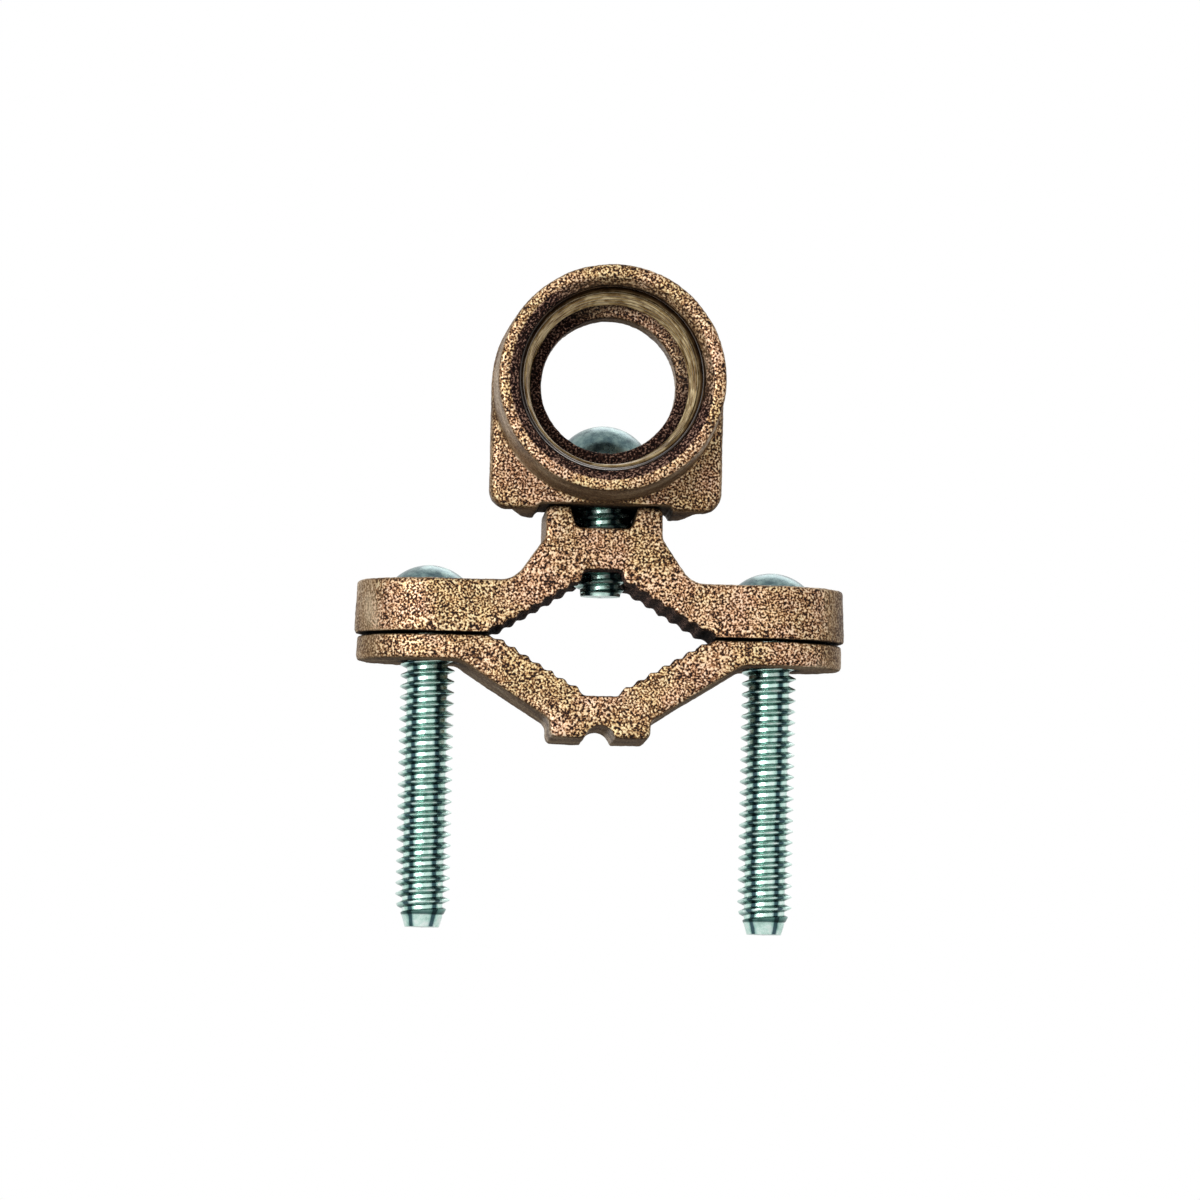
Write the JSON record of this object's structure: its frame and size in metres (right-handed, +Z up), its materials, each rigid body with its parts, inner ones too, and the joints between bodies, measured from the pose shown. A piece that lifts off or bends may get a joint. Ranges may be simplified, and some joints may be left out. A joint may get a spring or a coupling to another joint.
{
  "type": "earth rod clamp with conduit hub",
  "caption": "Bronze ground rod clamp: two serrated jaws drawn together by slotted screws, with a threaded conduit hub keyed on the upper jaw's yoke.",
  "frame": {"origin": "middle of the rod's opening, on the parting face of the upper jaw", "axes": "+X from the left clamp screw to the right one, +Y along the rod away from the hub's mouth, +Z up to the hub"},
  "size_m": [0.0572, 0.0317, 0.0761],
  "materials": {
    "bronze": "sand-cast bronze, fine grain",
    "zinc_plated_steel": "bright zinc plating"
  },
  "bodies": {
    "upper_jaw": {"upper_jaw": "bronze"},
    "lower_jaw": {"lower_jaw": "bronze"},
    "clamp_screw_left": {"clamp_screw_left": "zinc_plated_steel"},
    "clamp_screw_right": {"clamp_screw_right": "zinc_plated_steel"},
    "hub": {"conduit_hub": "bronze"},
    "hub_screw": {"hub_screw": "zinc_plated_steel"}
  },
  "joints": [
    {"name": "clamp_screw_left_turn", "type": "hinge", "parent": "upper_jaw", "child": "clamp_screw_left", "pos_m": [-0.0199, 0, 0], "axis": [0, 0, 1], "range_deg": [-71, 7925]},
    {"name": "clamp_screw_right_turn", "type": "hinge", "parent": "upper_jaw", "child": "clamp_screw_right", "pos_m": [0.0199, 0, 0], "axis": [0, 0, 1], "range_deg": [-71, 7925]},
    {"name": "lower_jaw_travel", "type": "slide", "parent": "upper_jaw", "child": "lower_jaw", "axis": [0, 0, 1], "range_m": [-0.02795, 0.00025]},
    {"name": "hub_screw_turn", "type": "hinge", "parent": "hub", "child": "hub_screw", "pos_m": [0, 0, 0], "axis": [0, 0, 1], "range_deg": [0, 1710]},
    {"name": "hub_lift", "type": "slide", "parent": "upper_jaw", "child": "hub", "axis": [0, 0, 1], "range_m": [0, 0.00603]}
  ],
  "couplings": [
    {"joint": "clamp_screw_left_turn", "follows": "lower_jaw_travel", "rad_per_m": -4947.4},
    {"joint": "clamp_screw_right_turn", "follows": "lower_jaw_travel", "rad_per_m": -4947.4},
    {"joint": "hub_screw_turn", "follows": "hub_lift", "rad_per_m": 4947.4}
  ]
}
